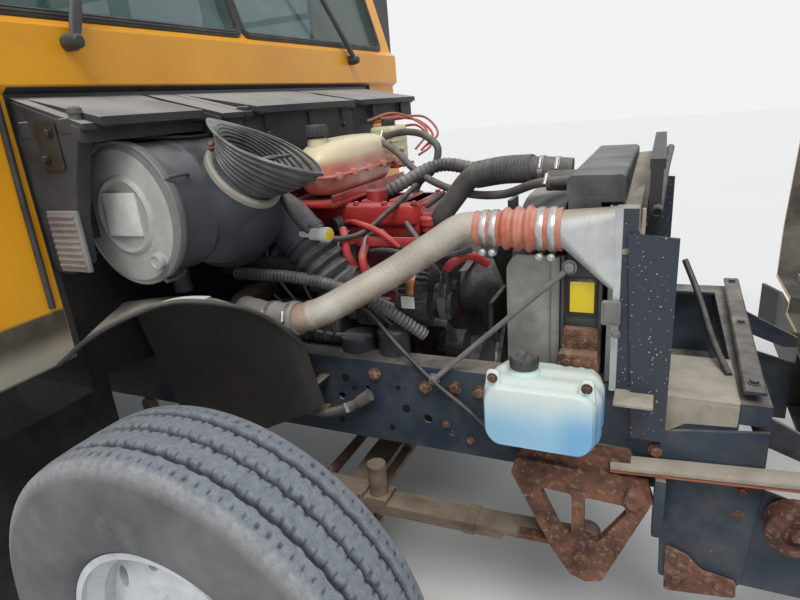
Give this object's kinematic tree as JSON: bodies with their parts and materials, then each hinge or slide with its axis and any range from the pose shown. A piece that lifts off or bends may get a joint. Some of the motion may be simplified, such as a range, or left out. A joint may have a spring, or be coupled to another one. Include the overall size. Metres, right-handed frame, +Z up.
{
  "type": "school bus",
  "caption": "Conventional school bus with its tilt hood standing open over a detailed engine bay, split entrance door, twin rear tyres and a rear emergency door.",
  "frame": {"origin": "on the ground below the middle of the whole vehicle", "axes": "+X forward, +Y to the driver's left, +Z up"},
  "size_m": [11.456, 3.02, 3.1353],
  "materials": {
    "navy_black_paint": "dusty",
    "black_paint": "satin",
    "rusty_steel": "rough",
    "grey_casting": "cast",
    "scaled_steel": "oxidised",
    "red_engine_paint": "dusty",
    "black_rubber_and_iron": "dusty",
    "radiator_black": "dusty",
    "bay_plastic": "matte",
    "bare_aluminium": "cast",
    "pipe_steel": "rust-speckled",
    "orange_silicone": "ribbed",
    "grey_plastic": "satin",
    "tank_plastic": "translucent",
    "black_rubber": "satin",
    "milky_plastic": "translucent",
    "floor_black": "ribbed",
    "bus_yellow": "gloss",
    "tinted_glass": "tinted",
    "seat_vinyl": "vinyl",
    "lamp_lens": "clear",
    "amber_and_red_lens": "clear",
    "sign_red": "gloss",
    "sign_yellow": "gloss",
    "tyre_rubber": "worn",
    "rim_paint": "gloss"
  },
  "bodies": {
    "chassis": {"air_cleaner": "grey_plastic", "arm_brackets": "black_paint", "battery_box": "navy_black_paint", "body_glass": "tinted_glass", "body_lamps": "amber_and_red_lens", "charge_hose": "orange_silicone", "charge_pipes": "pipe_steel", "coolant_hoses": "black_rubber", "coolant_tanks": "tank_plastic", "coolers": "bare_aluminium", "driveline": "grey_casting", "driver_station": "bay_plastic", "engine": "red_engine_paint", "engine_drive": "black_rubber_and_iron", "exhaust": "scaled_steel", "fan_shroud": "bay_plastic", "firewall_boxes": "bay_plastic", "floor": "floor_black", "frame": "navy_black_paint", "front_axle": "rusty_steel", "front_bumper": "black_paint", "front_cap": "bus_yellow", "fuel_tank": "navy_black_paint", "mirrors": "black_paint", "radiator": "radiator_black", "rear_axle": "rusty_steel", "rear_bumper": "black_paint", "rear_wall": "bus_yellow", "roof": "bus_yellow", "rub_rails": "black_paint", "seats": "seat_vinyl", "side_wall_left": "bus_yellow", "side_wall_right": "bus_yellow", "splash_liners": "black_rubber", "suspension": "rusty_steel", "washer_bottle": "milky_plastic", "window_frames": "black_paint", "windshield": "tinted_glass", "wipers": "black_rubber"},
    "knuckle_right": {"knuckle_right": "rusty_steel"},
    "knuckle_left": {"knuckle_left": "rusty_steel"},
    "wheel_front_right": {"front_tyre_right": "tyre_rubber", "front_wheel_right": "rim_paint"},
    "wheel_front_left": {"front_tyre_left": "tyre_rubber", "front_wheel_left": "rim_paint"},
    "wheel_rear_right": {"rear_tyres_right": "tyre_rubber", "rear_wheels_right": "rim_paint"},
    "wheel_rear_left": {"rear_tyres_left": "tyre_rubber", "rear_wheels_left": "rim_paint"},
    "track_rod": {"track_rod": "rusty_steel"},
    "door_front_leaf": {"door_leaf_front": "black_paint"},
    "door_rear_leaf": {"door_leaf_rear": "black_paint"},
    "emergency_door": {"emergency_door": "bus_yellow"},
    "hood": {"hood": "bus_yellow", "grille": "black_paint", "headlamps": "lamp_lens"},
    "stop_arm": {"stop_arm": "sign_red"},
    "crossing_arm": {"crossing_arm": "sign_yellow"},
    "roof_hatch": {"roof_hatch": "bay_plastic"}
  },
  "joints": [
    {"name": "steer_right", "type": "hinge", "parent": "chassis", "child": "knuckle_right", "pos_m": [3.28204, -0.925, 0.512], "axis": [0, 0, 1], "range_deg": [-35, 35]},
    {"name": "steer_left", "type": "hinge", "parent": "chassis", "child": "knuckle_left", "pos_m": [3.28204, 0.925, 0.512], "axis": [0, 0, 1], "range_deg": [-35, 35]},
    {"name": "track_rod_slide", "type": "slide", "parent": "chassis", "child": "track_rod", "axis": [0, 1, 0], "range_m": [-0.0975, 0.0975]},
    {"name": "front_right_spin", "type": "hinge", "parent": "knuckle_right", "child": "wheel_front_right", "pos_m": [3.28204, -1.047, 0.512], "axis": [0, 1, 0], "continuous": true},
    {"name": "front_left_spin", "type": "hinge", "parent": "knuckle_left", "child": "wheel_front_left", "pos_m": [3.28204, 1.047, 0.512], "axis": [0, 1, 0], "continuous": true},
    {"name": "rear_right_spin", "type": "hinge", "parent": "chassis", "child": "wheel_rear_right", "pos_m": [-3.11796, -0.895, 0.512], "axis": [0, 1, 0], "continuous": true},
    {"name": "rear_left_spin", "type": "hinge", "parent": "chassis", "child": "wheel_rear_left", "pos_m": [-3.11796, 0.895, 0.512], "axis": [0, 1, 0], "continuous": true},
    {"name": "door_front_swing", "type": "hinge", "parent": "chassis", "child": "door_front_leaf", "pos_m": [2.56804, -1.219, 1.4], "axis": [0, 0, 1], "range_deg": [0, 88]},
    {"name": "door_rear_swing", "type": "hinge", "parent": "chassis", "child": "door_rear_leaf", "pos_m": [1.81604, -1.219, 1.4], "axis": [0, 0, -1], "range_deg": [0, 88]},
    {"name": "emergency_door_swing", "type": "hinge", "parent": "chassis", "child": "emergency_door", "pos_m": [-5.62696, -0.341, 1.7], "axis": [0, 0, 1], "range_deg": [0, 110]},
    {"name": "hood_tilt", "type": "hinge", "parent": "chassis", "child": "hood", "pos_m": [4.58204, 0, 0.745], "axis": [0, 1, 0], "range_deg": [-95, 0]},
    {"name": "stop_arm_swing", "type": "hinge", "parent": "chassis", "child": "stop_arm", "pos_m": [2.28204, 1.244, 1.515], "axis": [0, 0, -1], "range_deg": [0, 90]},
    {"name": "crossing_arm_swing", "type": "hinge", "parent": "chassis", "child": "crossing_arm", "pos_m": [4.68504, -1.03, 0.62], "axis": [0, 0, -1], "range_deg": [0, 90]},
    {"name": "roof_hatch_lift", "type": "hinge", "parent": "chassis", "child": "roof_hatch", "pos_m": [-0.28496, 0, 3.1064], "axis": [0, 1, 0], "range_deg": [0, 35]}
  ],
  "couplings": [
    {"joint": "steer_left", "follows": "steer_right", "ratio": 1},
    {"joint": "track_rod_slide", "follows": "steer_right", "m_per_rad": -0.158}
  ]
}
